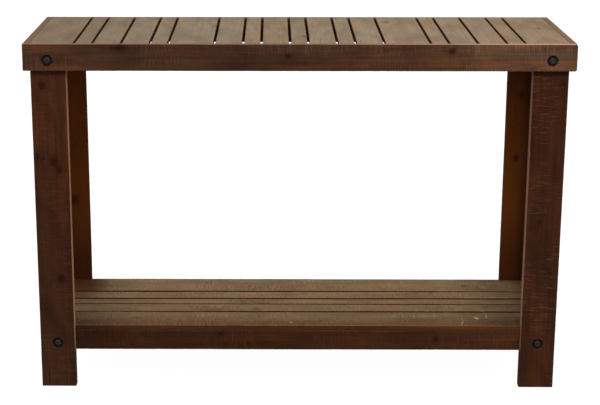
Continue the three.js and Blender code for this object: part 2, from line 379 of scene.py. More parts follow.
# Knots: where they lie on a board, in the row frame's x, y and z, and their radius, in millimetres.
KNOTS = {
    "front_left_leg": [
        (-570, -186, 715, 7),
        (-587, -186, 551, 4),
        (-550, -186, 541, 8),
        (-538, -186, 521, 6),
        (-544, -186, 264, 7),
    ],
    "front_right_leg": [(586, -186, 721, 3), (577, -186, 716, 2), (548, -186, 402, 3)],
    "rear_right_leg": [(543, 164, 465, 5), (550, 164, 625, 4)],
    "rear_left_leg": [(-552, 164, 356, 9)],
    "front_apron": [(-396, -200, 801, 6), (-25, -200, 783, 4), (333, -200, 795, 6)],
    "shelf_front_rail": [(-180, -172, 126, 4), (322, -172, 112, 4)],
    "shelf_board_1": [(-376, -121, 147, 4.5), (-459, -121, 147, 3.5)],
    "shelf_board_2": [(-98, -58, 147, 6), (455, -46, 147, 6)],
    "shelf_board_5": [(420, 118, 147, 6)],
    "top_slat_06": [(-185, 60, 810, 6)],
    "top_slat_10": [(12, -90, 810, 4)],
    "top_slat_14": [(212, 118, 810, 6)],
    "top_slat_19": [(560, 30, 810, 5)],
    "rear_apron": [(-240, 200, 780, 7), (410, 200, 792, 5)],
    "left_apron": [(-610, 40, 778, 6)],
    "right_apron": [(610, -70, 786, 5)],
}
FAR = 10.0  # further from a knot or a mark than any finish looks

# Marks on the shelf, as x, y and radius in millimetres: rings that pots scraped, and chips.
POT_RINGS = [(395, -95, 53), (328, -135, 60)]
CHIPS = [(419, -112, 3), (421, -118, 3.5), (423, -124, 3), (-15, -152, 2.5)]

# How far from a board's long arrises, and from those of its ends, the wear reaches.
ARRIS_WEAR = 4 * MM
END_WEAR = 3 * MM

# Folds sharper than this stay sharp, in degrees.
WOOD_CREASE = 50
STEEL_CREASE = 28


def write_attribute(mesh, name, values):
    """Stores one number or one vector for each point of a mesh."""
    vector = np.ndim(values) == 2
    attribute = mesh.attributes.new(name, "FLOAT_VECTOR" if vector else "FLOAT", "POINT")
    flat = np.ascontiguousarray(values, dtype=np.float32).ravel()
    attribute.data.foreach_set("vector" if vector else "value", flat)


def board_axes(low, high, grain):
    """The axes along a board, across its width and through its thickness."""
    axis = GRAIN_AXIS[grain]
    across = sorted((i for i in range(3) if i != axis), key=lambda i: low[i] - high[i])
    return [axis, *across]


def nearest_knot(node, points, axes):
    """The way from each point's nearest knot, in board axes and in radii of that knot."""
    knot = np.full((len(points), 3), FAR)
    nearest = np.full(len(points), np.inf)
    for *place, radius in KNOTS.get(node, []):
        away = ((points - np.array(place) * MM) / (radius * MM))[:, axes]
        distance = np.linalg.norm(away, axis=1)
        closer = distance < nearest
        knot[closer] = np.clip(away[closer], -FAR, FAR)
        nearest = np.minimum(nearest, distance)
    return knot


def scuffs(node, points):
    """The way from each point to the nearest mark on the shelf, below 0 inside a chip.

    A pot scraped only the right-hand part of its ring.
    """
    away = np.full(len(points), FAR)
    if not node.startswith("shelf_board"):
        return away
    for x, y, radius in POT_RINGS:
        aside, behind = points[:, 0] - x * MM, points[:, 1] - y * MM
        distance = np.abs(np.hypot(aside, behind) - radius * MM)
        scraped = (aside > 0.3 * radius * MM) & (behind > -0.5 * radius * MM)
        away = np.where(scraped, np.minimum(away, distance), away)
    for x, y, radius in CHIPS:
        distance = np.hypot(points[:, 0] - x * MM, points[:, 1] - y * MM)
        away = np.minimum(away, distance - radius * MM)
    return away


def mark_plank(piece, node, grain, seed, tone, hue, other):
    """Stores what the wood finishes read: where each point lies on its board, and its wear."""
    low, high = (np.array(corner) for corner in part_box(node))
    points = mesh_points(piece.data)
    axes = board_axes(low, high, grain)
    board = (points - (low + high) / 2)[:, axes]
    along, across = (float(scatter(seed, step, 5, 77)) for step in range(2))
    own_place = [3.0 * along + 7.0 * (seed % 11), 0.045 * across, 0.0]  # so that no two boards match
    write_attribute(piece.data, "board", board + np.array(own_place))

    gaps = np.minimum(points - low, high - points)
    end_gap = gaps[:, axes[0]]
    face_gaps = gaps[:, axes[1:]]
    long_arris = near(face_gaps.max(axis=1), ARRIS_WEAR)
    end_arris = near(np.maximum(end_gap, face_gaps.min(axis=1)), END_WEAR)
    write_attribute(piece.data, "wear", np.maximum(long_arris, end_arris))
    write_attribute(piece.data, "ending", end_gap)
    write_attribute(piece.data, "knot", nearest_knot(node, points, axes))
    write_attribute(piece.data, "scuff", scuffs(node, points))
    for name, value in (("tone", tone), ("hue", hue), ("other", other)):
        values = value(points) if callable(value) else np.full(len(points), value)
        write_attribute(piece.data, name, values)


def smooth_by_angle(piece, degrees):
    mesh = piece.data
    mesh.polygons.foreach_set("use_smooth", np.ones(len(mesh.polygons), dtype=bool))
    mesh.set_sharp_from_angle(angle=math.radians(degrees))


def stand_in(piece, node, slot, material):
    """Gives a finished piece its material, and puts it in the place of its CAD node."""
    piece.data.materials.clear()
    piece.data.materials.append(material)
    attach(piece, "root")
    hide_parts(node)


# How far the shelf's gaps widen into a board's front and rear edges, in millimetres, at the
# board's left and right ends. The boards were not laid quite parallel.
TRIMS = {
    "shelf_board_2": ((0, 3.5), (0, 0)),
    "shelf_board_3": ((0, 0), (2.5, 0.5)),
    "shelf_board_4": ((0, 3), (5, 0)),
}


def trim(piece, node):
    """Narrows a board's mesh along its long edges."""
    low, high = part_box(node)
    points = mesh_points(piece.data)
    along = (points[:, 0] - low.x) / (high.x - low.x)
    share = (points[:, 1] - low.y) / (high.y - low.y)
    front, rear = (np.interp(along, (0, 1), ends) * MM for ends in TRIMS[node])
    points[:, 1] += (1 - share) * front - share * rear
    piece.data.vertices.foreach_set("co", points.astype(np.float32).ravel())
    piece.data.update()


def plank(node, grain, spacing, shape, finish, seed, cutters=(), tone=0, hue=0, other=0, corners=()):
    """Replaces one CAD plank by its detailed mesh. finish is a slot name, which nothing uses, and its
    material.

    tone, hue and other are numbers, or functions that give one for each point.
    """
    points, quads = plank_shape(node, grain, spacing, shape, seed, corners)
    piece = make_object(node + "_wood", points, quads)
    if cutters:
        cut(piece, cutters)
    mark_plank(piece, node, grain, seed, tone, hue, other)
    if node in TRIMS:
        trim(piece, node)
    smooth_by_angle(piece, WOOD_CREASE)
    stand_in(piece, node, *finish)


# ---- Materials ----
class Value:
    """A node's output that can be used in sums and products."""

    def __init__(self, nodes, socket):
        self.nodes = nodes
        self.socket = socket

    def __add__(self, other):
        return self.nodes.math("ADD", self, other)

    def __sub__(self, other):
        return self.nodes.math("SUBTRACT", self, other)

    def __rsub__(self, other):
        return self.nodes.math("SUBTRACT", other, self)

    def __mul__(self, other):
        return self.nodes.math("MULTIPLY", self, other)

    def __truediv__(self, other):
        return self.nodes.math("DIVIDE", self, other)

    __radd__ = __add__
    __rmul__ = __mul__


class Nodes:
    """A short way to write a material's node tree."""

    def __init__(self, name):
        self.material = bpy.data.materials.new(name)
        self.material.use_nodes = True
        self.tree = self.material.node_tree
        self.tree.nodes.clear()

    def add(self, kind, **settings):
        node = self.tree.nodes.new("ShaderNode" + kind)
        for key, value in settings.items():
            setattr(node, key, value)
        return node

    def put(self, socket, value):
        if isinstance(value, Value):
            self.tree.links.new(value.socket, socket)
        elif isinstance(value, tuple) and socket.type == "RGBA":
            socket.default_value = value + (1.0,)
        else:
            socket.default_value = value

    def math(self, operation, *values, clamp=False):
        node = self.add("Math", operation=operation, use_clamp=clamp)
        for index, value in enumerate(values):
            self.put(node.inputs[index], value)
        return Value(self, node.outputs[0])

    def combine(self, *parts):
        node = self.add("CombineXYZ")
        for index, value in enumerate(parts):
            self.put(node.inputs[index], value)
        return Value(self, node.outputs[0])

    def separate(self, vector):
        node = self.add("SeparateXYZ")
        self.put(node.inputs[0], vector)
        return [Value(self, socket) for socket in node.outputs]

    def attribute(self, name, output="Fac"):
        return Value(self, self.add("Attribute", attribute_name=name).outputs[output])

    def noise(self, vector, detail=2.0, roughness=0.5, scale=1.0):
        node = self.add("TexNoise")
        self.put(node.inputs["Vector"], vector)
        node.inputs["Scale"].default_value = scale
        node.inputs["Detail"].default_value = detail
        node.inputs["Roughness"].default_value = roughness
        return Value(self, node.outputs["Fac"])

    def ramp(self, value, stops):
        """A ramp through (position, grey or colour) stops."""
        node = self.add("ValToRGB")
        self.put(node.inputs[0], value)
        elements = node.color_ramp.elements
        while len(elements) < len(stops):
            elements.new(0.5)
        for element, (position, colour) in zip(elements, stops):
            element.position = position
            shade = colour if isinstance(colour, tuple) else (colour,) * 3
            element.color = shade + (1.0,)
        return Value(self, node.outputs[0])

    def step(self, value, start, end):
        """0 at start and 1 at end, smooth between. start may be above end."""
        node = self.add("MapRange", interpolation_type="SMOOTHSTEP")
        self.put(node.inputs["Value"], value)
        rising = start < end
        node.inputs["From Min"].default_value = min(start, end)
        node.inputs["From Max"].default_value = max(start, end)
        node.inputs["To Min"].default_value = 0.0 if rising else 1.0
        node.inputs["To Max"].default_value = 1.0 if rising else 0.0
        return Value(self, node.outputs[0])

    def mix(self, factor, first, second, blend="MIX"):
        node = self.add("Mix", data_type="RGBA", blend_type=blend)
        colours = [socket for socket in node.inputs if socket.type == "RGBA"]
        self.put(node.inputs[0], factor)
        self.put(colours[0], first)
        self.put(colours[1], second)
        output = next(socket for socket in node.outputs if socket.type == "RGBA")
        return Value(self, output)

    def shade(self, colour, *factors):
        """Multiplies a colour by one factor, or by a factor for each channel."""
        channels = factors if len(factors) == 3 else factors * 3
        return self.mix(1.0, colour, self.combine(*channels), "MULTIPLY")

    def finish(self, colour, roughness, height, relief, specular, metallic=0.0):
        """Ends the tree in a Principled shader. relief is the height's range in metres."""
        shader = self.add("BsdfPrincipled")
        self.put(shader.inputs["Base Color"], colour)
        self.put(shader.inputs["Roughness"], roughness)
        shader.inputs["Metallic"].default_value = metallic
        shader.inputs["Specular IOR Level"].default_value = specular
        bump = self.add("Bump")
        bump.inputs["Distance"].default_value = relief
        self.put(bump.inputs["Height"], height)
        self.tree.links.new(bump.outputs[0], shader.inputs["Normal"])
        output = self.add("OutputMaterial")
        self.tree.links.new(shader.outputs[0], output.inputs["Surface"])
        return self.material


def scaled(colour, factor):
    return tuple(channel * factor for channel in colour)


def wood(name, look):
    """Stained, weathered softwood. look holds the colours and the strength of each effect."""
    n = Nodes(name)
    u, v, w = n.separate(n.attribute("board", "Vector"))
    knot_u, knot_v, knot_w = n.separate(n.attribute("knot", "Vector"))
    wear, tone, hue, other, ending = (
        n.attribute(stored) for stored in ("wear", "tone", "hue", "other", "ending")
    )

    def along(length, width, detail=2.0, roughness=0.5):
        """Noise whose features are this long along the grain and this wide across it."""
        return n.noise(n.combine(u / length, v / width, w / width), detail, roughness)

    # Knots: soft dark ovals that the grain parts around.
    long_way = knot_u * 0.75
    oval = n.math("SQRT", long_way * long_way + knot_v * knot_v)
    oval = oval + (n.noise(n.combine(knot_u, knot_v, knot_w), scale=1.3) - 0.5) * 1.1
    heart = n.step(oval, 1.6, 0.55)
    halo = n.step(oval, 3.4, 1.0)

    # Growth rings about a line below the board: arches on its faces, arcs on its ends.
    wander = (along(0.45, 0.2, 1.5) - 0.5) * 0.03
    ring_v = v + wander + halo * 0.006
    below = u * 0.017 + w - 0.035
    rings = n.math("SQRT", ring_v * ring_v + below * below) / look["ring"]
    late_wood = [(0.0, 0.0), (0.55, 0.12), (0.88, 1.0), (1.0, 0.0)]
    late = n.ramp(n.math("FRACT", rings), late_wood)

    # Fibres, and broader streaks.
    fibre = along(0.05, 0.0011, 3.0, 0.6)
    streak = along(0.25, 0.0065, 3.0, 0.6)

    # Marks of the saw: short irregular bars across the board, stronger in patches.
    slanted = u + v * 0.05
    bars = n.noise(n.combine(slanted / 0.0022, v / 0.03, w / 0.03), 2.0, 0.5)
    patches = n.step(along(0.13, 0.045), 0.40, 0.62)
    saw = (bars - 0.5) * (patches * 0.75 + 0.25)
    crest = n.step(bars, 0.57, 0.70) * patches

    # Slow blotches of stain, warmer patches, and grime.
    blotch = along(0.16, 0.05, 4.0, 0.6)
    warm = n.step(along(0.21, 0.033, 3.0), 0.50, 0.68)
    grime = along(0.035, 0.016, 3.0, 0.65)

    # Fine splits near a board's ends.
    split = n.step(n.noise(n.combine(u / 0.2, v / 0.004, w / 0.05), 1.0), 0.70, 0.76)
    split = split * n.step(ending, 0.075, 0.01)

    colour = n.mix(n.step(blotch, 0.3, 0.7), look["dark"], look["light"])
    colour = n.mix(warm * look["warmth"], colour, look["warm"])
    colour = n.mix(late * look["rings"], colour, scaled(look["dark"], 0.6))
    colour = n.shade(colour, 1.0 + (streak - 0.5) * look["streaks"])
    colour = n.shade(colour, 1.0 + (fibre - 0.5) * look["fibres"])
    colour = n.shade(colour, 1.0 + saw * look["saw"])
    colour = n.mix(crest * look["crests"], colour, look["worn"])
    colour = n.mix(n.step(grime, 0.58, 0.78) * look["grime"], colour, scaled(look["dark"], 0.5))
    tint = hue + (along(0.4, 0.011, 2.0) - 0.5) * look["tints"]
    colour = n.shade(colour, 1.0 + tint * 0.08, 1.0 - tint * 0.02, 1.0 - tint * 0.05)

    # Faces with another colour: sides that the weather doesn't reach, and faces with painted light, such
    # as the front legs' painted highlight and the rear legs' lighter shaded inner faces.
    elsewhere = n.shade(look["other"], 0.75 + blotch * 0.5)
    elsewhere = n.shade(elsewhere, 1.0 + (streak - 0.5) * 0.35)
    where = n.step(other + (grime - 0.5) * 0.35, 0.25, 0.75)
    colour = n.mix(where, colour, elsewhere)
    # tone holds each board's own tone, and on the shelf and the rear legs painted shade and painted light
    # too.
    colour = n.shade(colour, 1.0 + tone)

    # Worn arrises, broken up by the grime and the saw marks.
    rubbed = wear + (grime - 0.55) * 1.3 + (bars - 0.5) * 0.5
    rubbed = n.step(rubbed, 0.42, 0.95) * look["wear"] * (1.0 - where * 0.85)
    colour = n.mix(rubbed, colour, look["worn"])

    # Thin light scratches where pots were dragged, and chips.
    scuff = n.attribute("scuff") + (n.noise(n.combine(u / 0.02, v / 0.02, w), 1.0) - 0.5) * 0.004
    scratch = n.step(n.math("ABSOLUTE", scuff), 0.0022, 0.0008)
    scratch = scratch * n.step(along(0.02, 0.02, 1.0), 0.30, 0.48) * 0.5
    chip = n.step(scuff, 0.0005, -0.0015)
    mark = n.math("MAXIMUM", scratch, chip) * (1.0 - where)
    colour = n.mix(mark, colour, scaled(look["worn"], 1.4))

    colour = n.mix(halo * 0.25, colour, look["knot"])
    colour = n.mix(heart * 0.8, colour, look["knot"])
    colour = n.mix(split * 0.8, colour, scaled(look["dark"], 0.2))

    roughness = n.math("ADD", (grime - 0.5) * 0.25, look["roughness"], clamp=True)
    height = fibre * 0.45 + saw * look["relief"] + streak * 0.5 + late * 0.15
    height = height - split * 1.5 - heart * 0.3
    return n.finish(colour, roughness, height, 0.5 * MM, look["specular"])


APRON_LOOK = {
    "dark": (0.056, 0.0225, 0.0112),
    "light": (0.088, 0.0385, 0.0205),
    "warm": (0.125, 0.041, 0.0135),
    "warmth": 0.6,
    "worn": (0.22, 0.115, 0.068),
    "knot": (0.024, 0.0055, 0.002),
    "other": (0.24, 0.128, 0.074),  # their top edges have weathered like the slats
    "ring": 0.0042,
    "rings": 0.40,
    "streaks": 0.95,
    "fibres": 0.7,
    "tints": 6.0,
    "saw": 1.4,
    "crests": 0.18,
    "grime": 0.40,
    "wear": 0.6,
    "relief": 1.2,
    "roughness": 0.66,
    "specular": 0.09,
}
LEG_LOOK = dict(
    APRON_LOOK,
    dark=(0.049, 0.0155, 0.0060),
    light=(0.078, 0.0240, 0.0095),
    warm=(0.108, 0.029, 0.0078),
    worn=(0.17, 0.070, 0.030),
    other=(0.46, 0.225, 0.105),  # painted highlight: the front legs' side faces are painted light where light glances off them
    saw=0.9,
    crests=0.16,
    wear=0.4,
)
# Its other colour is the same painted highlight, on the right front leg's side faces.
SAWN_LEG_LOOK = dict(
    LEG_LOOK, worn=(0.21, 0.105, 0.060), other=(0.41, 0.210, 0.113), crests=0.36, wear=0.3
)
REAR_LEG_PAINTED_LIGHT_LOOK = dict(LEG_LOOK, other=(0.105, 0.0250, 0.0022))  # painted light: their shaded inner faces are painted lighter and warmer than the outer ones
TOP_LOOK = dict(
    APRON_LOOK,
    dark=(0.240, 0.174, 0.108),
    light=(0.318, 0.238, 0.154),
    warm=(0.345, 0.214, 0.120),
    warmth=0.45,
    worn=(0.40, 0.30, 0.21),
    knot=(0.10, 0.055, 0.03),
    other=(0.085, 0.036, 0.010),  # the sides in the gaps keep their dark stain
    rings=0.25,
    streaks=0.40,
    fibres=0.34,
    tints=2.4,
    saw=0.5,
    crests=0.08,
    grime=0.2,
    wear=0.30,
    roughness=0.78,
    specular=0.08,
)
SHELF_LOOK = dict(
    TOP_LOOK,
    dark=(0.178, 0.114, 0.054),
    light=(0.245, 0.165, 0.084),
    warm=(0.250, 0.140, 0.062),
    worn=(0.36, 0.26, 0.165),
    other=(0.100, 0.0325, 0.0090),
    saw=1.6,
    crests=0.30,
    grime=0.3,
    wear=0.6,
)
FRAME_LOOK = dict(LEG_LOOK, warmth=0.3, crests=0.15, wear=0.2)


def steel(name, dark, light, rubbed, metallic):
    """Blackened steel: mottled and satin, with rubbed edges."""
    n = Nodes(name)
    place = Value(n, n.add("TexCoord").outputs["Object"])
    wear = n.attribute("wear")
    mottle = n.noise(place, 4.0, 0.6, scale=420.0)
    spots = n.noise(place, 2.0, 0.5, scale=1500.0)
    colour = n.ramp(mottle, [(0.3, dark), (0.7, light)])
    colour = n.mix(n.step(spots, 0.60, 0.72) * 0.4, colour, (0.045, 0.024, 0.015))
    colour = n.mix(wear * n.step(mottle, 0.35, 0.6), colour, rubbed)
    roughness = 0.42 + mottle * 0.25
    height = mottle * 0.6 + spots * 0.3
    return n.finish(colour, roughness, height, 0.08 * MM, 0.4, metallic)


# ---- Bolts and washers ----
HEAD_ACROSS_FLATS = 13 * MM
HEAD_HEIGHT = 4.6 * MM
SHANK_RADIUS = 3.9 * MM
THREAD_DEPTH = 0.7 * MM
THREAD_PITCH = 3.2 * MM
THREAD_STEP = 0.55 * MM  # from one ring of the thread to the next
THREADED_SHARE = 0.62  # of the length under the head
POINT_LENGTH = 7 * MM
HEAD_WEAR = 1.6 * MM  # how far below its top a head is rubbed
HEAD_TURNS = {"apron": 0.2, "shelf": 0.5}  # radians, at the left end
TURN_TO_RIGHT = 0.27  # more at the right end
WASHER_HOLE_RADIUS = 4.3 * MM
BOLT_POINTS = 96
WASHER_POINTS = 72


def ringed_solid(name, centre, side, rings, turn=0.0, loop=False):
    """A solid about a line along Y, through rings of (distance outwards, radii).

    side is -1 at the front and 1 at the rear. With loop, the last ring joins the first.
    """
    count = len(rings[0][1])
    angles = np.linspace(0, 2 * math.pi, count, endpoint=False) + turn
    points = np.concatenate(
        [
            np.stack(
                [
                    centre[0] + radii * np.cos(angles),
                    np.full(count, side * distance),
                    centre[1] + radii * np.sin(angles),
                ],
                axis=1,
            )
            for distance, radii in rings
        ]
    )
    start = np.arange(count)
    after = (start + 1) % count
    faces = []
    for ring in range(len(rings) if loop else len(rings) - 1):
        lower = ring * count
        upper = (ring + 1) % len(rings) * count
        quads = np.stack([lower + start, lower + after, upper + after, upper + start], axis=1)
        faces.extend(quads.tolist())
    if not loop:
        faces.append(start[::-1].tolist())
        faces.append((start + (len(rings) - 1) * count).tolist())
    if side > 0:
        faces = [face[::-1] for face in faces]
    return make_object(name, points, faces)


def bolt_rings(tip, seat, top, angles):
    """The rings of a hexagon-headed coach screw, from its point to the top of its head."""
    rings = []
    thread_end = tip + THREADED_SHARE * (seat - tip)
    for distance in np.arange(tip + 0.6 * MM, thread_end, THREAD_STEP):
        turn = (distance / THREAD_PITCH - angles / (2 * math.pi)) % 1.0
        ridge = np.clip(1 - np.abs(turn - 0.5) * 4.4, 0, 1)
        taper = min(1.0, 0.12 + 0.88 * (distance - tip) / POINT_LENGTH)
        rings.append((distance, (SHANK_RADIUS - THREAD_DEPTH * (1 - ridge)) * taper))
    for distance in (thread_end + 0.8 * MM, seat):
        rings.append((distance, np.full(len(angles), SHANK_RADIUS)))

    inscribed = HEAD_ACROSS_FLATS / 2
    folded = (angles + math.pi / 6) % (math.pi / 3) - math.pi / 6
    flats = inscribed / np.cos(folded)
    rings.append((seat, np.full(len(angles), inscribed * 0.93)))
    rings.append((seat + 0.35 * MM, np.minimum(flats, inscribed * 1.10)))
    rings.append((seat + 0.8 * MM, flats))
    for share in np.linspace(0, 1, 7):
        cone = inscribed * (1.155 - 0.26 * share**1.4)
        rings.append((top - (1 - share) * 1.5 * MM, np.minimum(flats, cone)))
    rings.append((top, np.full(len(angles), inscribed * 0.82)))
    rings.append((top - 0.12 * MM, np.full(len(angles), inscribed * 0.45)))
    return rings


def reach(node, side):
    """How near to the middle and how far from it a fastener reaches."""
    low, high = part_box(node)
    return (low.y, high.y) if side > 0 else (-high.y, -low.y)


def bolt(node, side, material, turn):
    inner, outer = reach(node, side)
    angles = np.linspace(0, 2 * math.pi, BOLT_POINTS, endpoint=False)
    rings = bolt_rings(inner, outer - HEAD_HEIGHT, outer, angles)
    piece = ringed_solid(node + "_steel", bolt_centre(node), side, rings, turn)
    inscribed = HEAD_ACROSS_FLATS / 2
    corners = [
        (distance > outer - HEAD_WEAR) * np.clip((radii / inscribed - 0.97) * 6, 0, 1)
        for distance, radii in rings
    ]
    write_attribute(piece.data, "wear", np.concatenate(corners))
    smooth_by_angle(piece, STEEL_CREASE)
    stand_in(piece, node, "dark_metal", material)


def washer(node, side, material):
    """A stamped washer: rounded on its outer side, slightly dished."""
    inner, outer = reach(node, side)
    low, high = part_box(node)
    rim = (high.x - low.x) / 2
    hole = WASHER_HOLE_RADIUS
    thick = outer - inner
    profile = [
        (inner, hole),
        (inner, rim - 0.2 * MM),
        (inner + 0.2 * MM, rim),
        (inner + 0.55 * thick, rim),
        (inner + 0.8 * thick, rim - 0.12 * MM),
        (outer - 0.06 * MM, rim - 0.5 * MM),
        (outer, rim - 1.1 * MM),
        (outer - 0.10 * MM, rim - 3.0 * MM),
        (outer - 0.12 * MM, hole + 0.6 * MM),
        (outer - 0.3 * MM, hole + 0.1 * MM),
        (outer - 0.5 * MM, hole),
    ]
    rings = [(distance, np.full(WASHER_POINTS, radius)) for distance, radius in profile]
    piece = ringed_solid(node + "_steel", bolt_centre(node), side, rings, loop=True)
    rubbed = [0.5 if 3 <= ring <= 6 else 0.0 for ring in range(len(profile))]  # its outer edge
    write_attribute(piece.data, "wear", np.repeat(rubbed, WASHER_POINTS))
    smooth_by_angle(piece, STEEL_CREASE)
    stand_in(piece, node, "dark_metal", material)


# ---- Assembly of the pieces ----
# Points are in metres in the bench's frame, and at is always a list of them.

# How closely a board's mesh is gridded along its grain.
FINE = 2 * MM
SHELF_SPACING = 2.5 * MM
MEDIUM = 3 * MM
COARSE = 4 * MM

# The seed of the first board of each kind. The others go up from it by tens.
SEEDS = {
    "slat": 110,
    "shelf_board": 500,
    "apron": 900,
    "front_leg": 1000,
    "rear_leg": 1040,
    "rail": 1100,
    "cleat": 1200,
    "end_rail": 1300,
    "batten": 1400,
}

# Each slat's tone and hue. Tone lightens or darkens, and hue runs from olive to pinkish.
SLAT_TONES = [-0.16, -0.17, -0.12, -0.06, -0.05, 0, 0.01, 0.02, 0, -0.04]
SLAT_TONES += [0.01, 0.01, 0.04, 0.04, 0.07, 0.03, 0.04, 0, 0]
SLAT_HUES = [0.3, 0.3, 0, -0.3, 0, -0.4, -0.2, 0.1, 0.2, -0.1]
SLAT_HUES += [0, 0, 0.1, 0.2, 0.9, 0.2, 0.1, 1.0, 0.7]

# The same for each shelf board, and how much stain is left at its left end.
SHELF_TONES = [-0.05, 0.0, 0.05, 0.13, 0.12]
SHELF_HUES = [0.2, 1.0, 0.5, 1.0, 0.3]
SHELF_STAINS = [0.40, 0.35, 0.35, 0.55, 0.80]


def board_seed(kind, index):
    return SEEDS[kind] + 10 * index


def slat_sides(node, across):
    """Where a top or shelf board's long sides are."""
    low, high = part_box(node)

    def mask(at):
        side = near(np.minimum(at[:, across] - low[across], high[across] - at[:, across]), 1.6 * MM)
        return side * rise(at[:, 2], high.z, high.z - 0.6 * MM)

    return mask


def shelf_stain(node, left_stain):
    """A shelf board's sides, and its ends beside the legs, have kept more of their stain."""
    sides = slat_sides(node, 1)

    def mask(at):
        left_end = rise(at[:, 0], -0.42, -0.52)
        right_end = rise(at[:, 0], 0.49, 0.59)
        return np.maximum(sides(at), left_stain * left_end + 0.8 * right_end)

    return mask


def front_strip(at):
    """1 along the shelf's front, where the front board is darker and browner."""
    return rise(at[:, 1], -0.105, -0.150)


def shelf_tone_and_shade(node, tone):
    """A shelf board's tone with painted shade: it falls towards the legs and, much further, on the sides
    inside the gaps, where shade falls; it also falls at the front.

    Only the shelf's outer front side grows lighter, to the right.
    """
    sides = slat_sides(node, 1)
    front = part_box("shelf_front_rail")[0].y

    def at_points(at):
        inside = sides(at) * (at[:, 1] > front + 4 * MM)
        outside = sides(at) * (1 - inside)
        # Painted shade: darker towards the legs, and much darker on the sides inside the gaps.
        ends = rise(np.abs(at[:, 0]), 0.36, 0.49)
        strip = front_strip(at) * (1 - sides(at))
        right = rise(at[:, 0], 0.20, 0.45)
        face = tone - 0.34 * ends * (1 - inside) - 0.86 * inside
        return face - 0.36 * strip + outside * (0.55 * right - 0.05)

    return at_points


def shelf_hue(hue):
    """A shelf board's hue, warmer along the shelf's front."""
    return lambda at: hue + 3 * front_strip(at)


def upper_face(at):
    """The top edge of an apron."""
    return near(TOP_HEIGHT - at[:, 2], 1.0 * MM)


def build_top():
    slat_finish = ("top_wood", wood("weathered_top", TOP_LOOK))
    apron_finish = ("apron_wood", wood("stained_apron", APRON_LOOK))
    for index, (tone, hue) in enumerate(zip(SLAT_TONES, SLAT_HUES)):
        node = f"top_slat_{index + 1:02d}"
        seed, sides = board_seed("slat", index), slat_sides(node, 0)
        plank(node, "y", MEDIUM, TOP, slat_finish, seed, tone=tone, hue=hue, other=sides)

    def fade(at):
        """The front apron's stain has faded towards its right end, and a little at its left."""
        return 1.55 * rise(at[:, 0], 0.05, 0.60) ** 1.15 + 0.22 * rise(at[:, 0], -0.35, -0.55)

    def greyer(at):
        """The front apron is also less red where it has faded most."""
        return -1.8 * rise(at[:, 0], 0.25, 0.60)

    front = apron_cutters("front", -1)
    rear = [*apron_cutters("rear", 1), rebate_cutter()]
    for index, (node, grain, spacing, cutters, tone, corners) in enumerate(
        (
            ("front_apron", "x", FINE, front, fade, (2.2 * MM, 5.5 * MM)),
            ("rear_apron", "x", MEDIUM, rear, 0, ()),
            ("left_apron", "y", MEDIUM, (), -0.12, ()),
            ("right_apron", "y", MEDIUM, (), -0.02, ()),
        )
    ):
        seed = board_seed("apron", index)
        hue = greyer if node == "front_apron" else 0
        plank(node, grain, spacing, SAWN, apron_finish, seed, cutters, tone, hue, upper_face, corners)


def front_leg_tone(end):
    """The left front leg is lighter below the apron and at its foot, and the right one a little darker."""
    upper, lower = {"left": (0.18, 0.12), "right": (-0.02, 0)}[end]

    def at_points(at):
        return upper * rise(at[:, 2], 0.45, 0.60) + lower * rise(at[:, 2], 0.32, 0.22)

    return at_points


def front_leg_hue(end):
    """The left leg is greyer at its foot, and the right one warmer below the apron."""
    if end == "left":
        return lambda at: -1.6 * rise(at[:, 2], 0.32, 0.22)
    return lambda at: 1.5 * rise(at[:, 2], 0.55, 0.67)


def side_face_highlight(node, share):
    """Painted highlight on the side faces of a front leg, where light glances off them, left out at its
    foot, which lies in shade.
    """
    low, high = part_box(node)

    def mask(at):
        gap = np.minimum(at[:, 0] - low.x, high.x - at[:, 0])
        return share * near(gap, 1.8 * MM) * rise(at[:, 2], 0.07, 0.10)

    return mask


# Painted light and shade on the rear legs' inner faces at some heights, and at some distances from the
# bench's middle, both in metres: darker near the shelf and towards the front legs, lighter midway up.
REAR_LEG_HEIGHTS = [0.20, 0.37, 0.56, 0.70]
REAR_LEG_LIGHT_AND_SHADE = {"left": [-0.60, -0.12, 0.28, 0.06], "right": [-0.45, 0.28, 0.24, -0.25]}
REAR_LEG_REACHES = [0.516, 0.530, 0.550, 0.567]
REAR_LEG_SHADES = {"left": [0.12, 0.06, 0, -0.05], "right": [0.28, 0.24, 0, -0.60]}


def inner_face(node):
    """The inner face of a rear leg, which lies in shade; its colour and tone there are painted light and
    shade.
    """
    low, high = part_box(node)
    return lambda at: rise(at[:, 1], high.y, (low.y + high.y) / 2)


def rear_leg_light_and_shade(node, end):
    """Painted light and shade on a rear leg's inner face, which change with the height and across the leg.
    """
    inner = inner_face(node)

    def at_points(at):
        upward = np.interp(at[:, 2], REAR_LEG_HEIGHTS, REAR_LEG_LIGHT_AND_SHADE[end])
        outward = np.interp(np.abs(at[:, 0]), REAR_LEG_REACHES, REAR_LEG_SHADES[end])
        # Painted shade near the shelf and beside the front legs, and painted light midway up.
        return inner(at) * ((1 + upward) * (1 + outward) - 1)

    return at_points


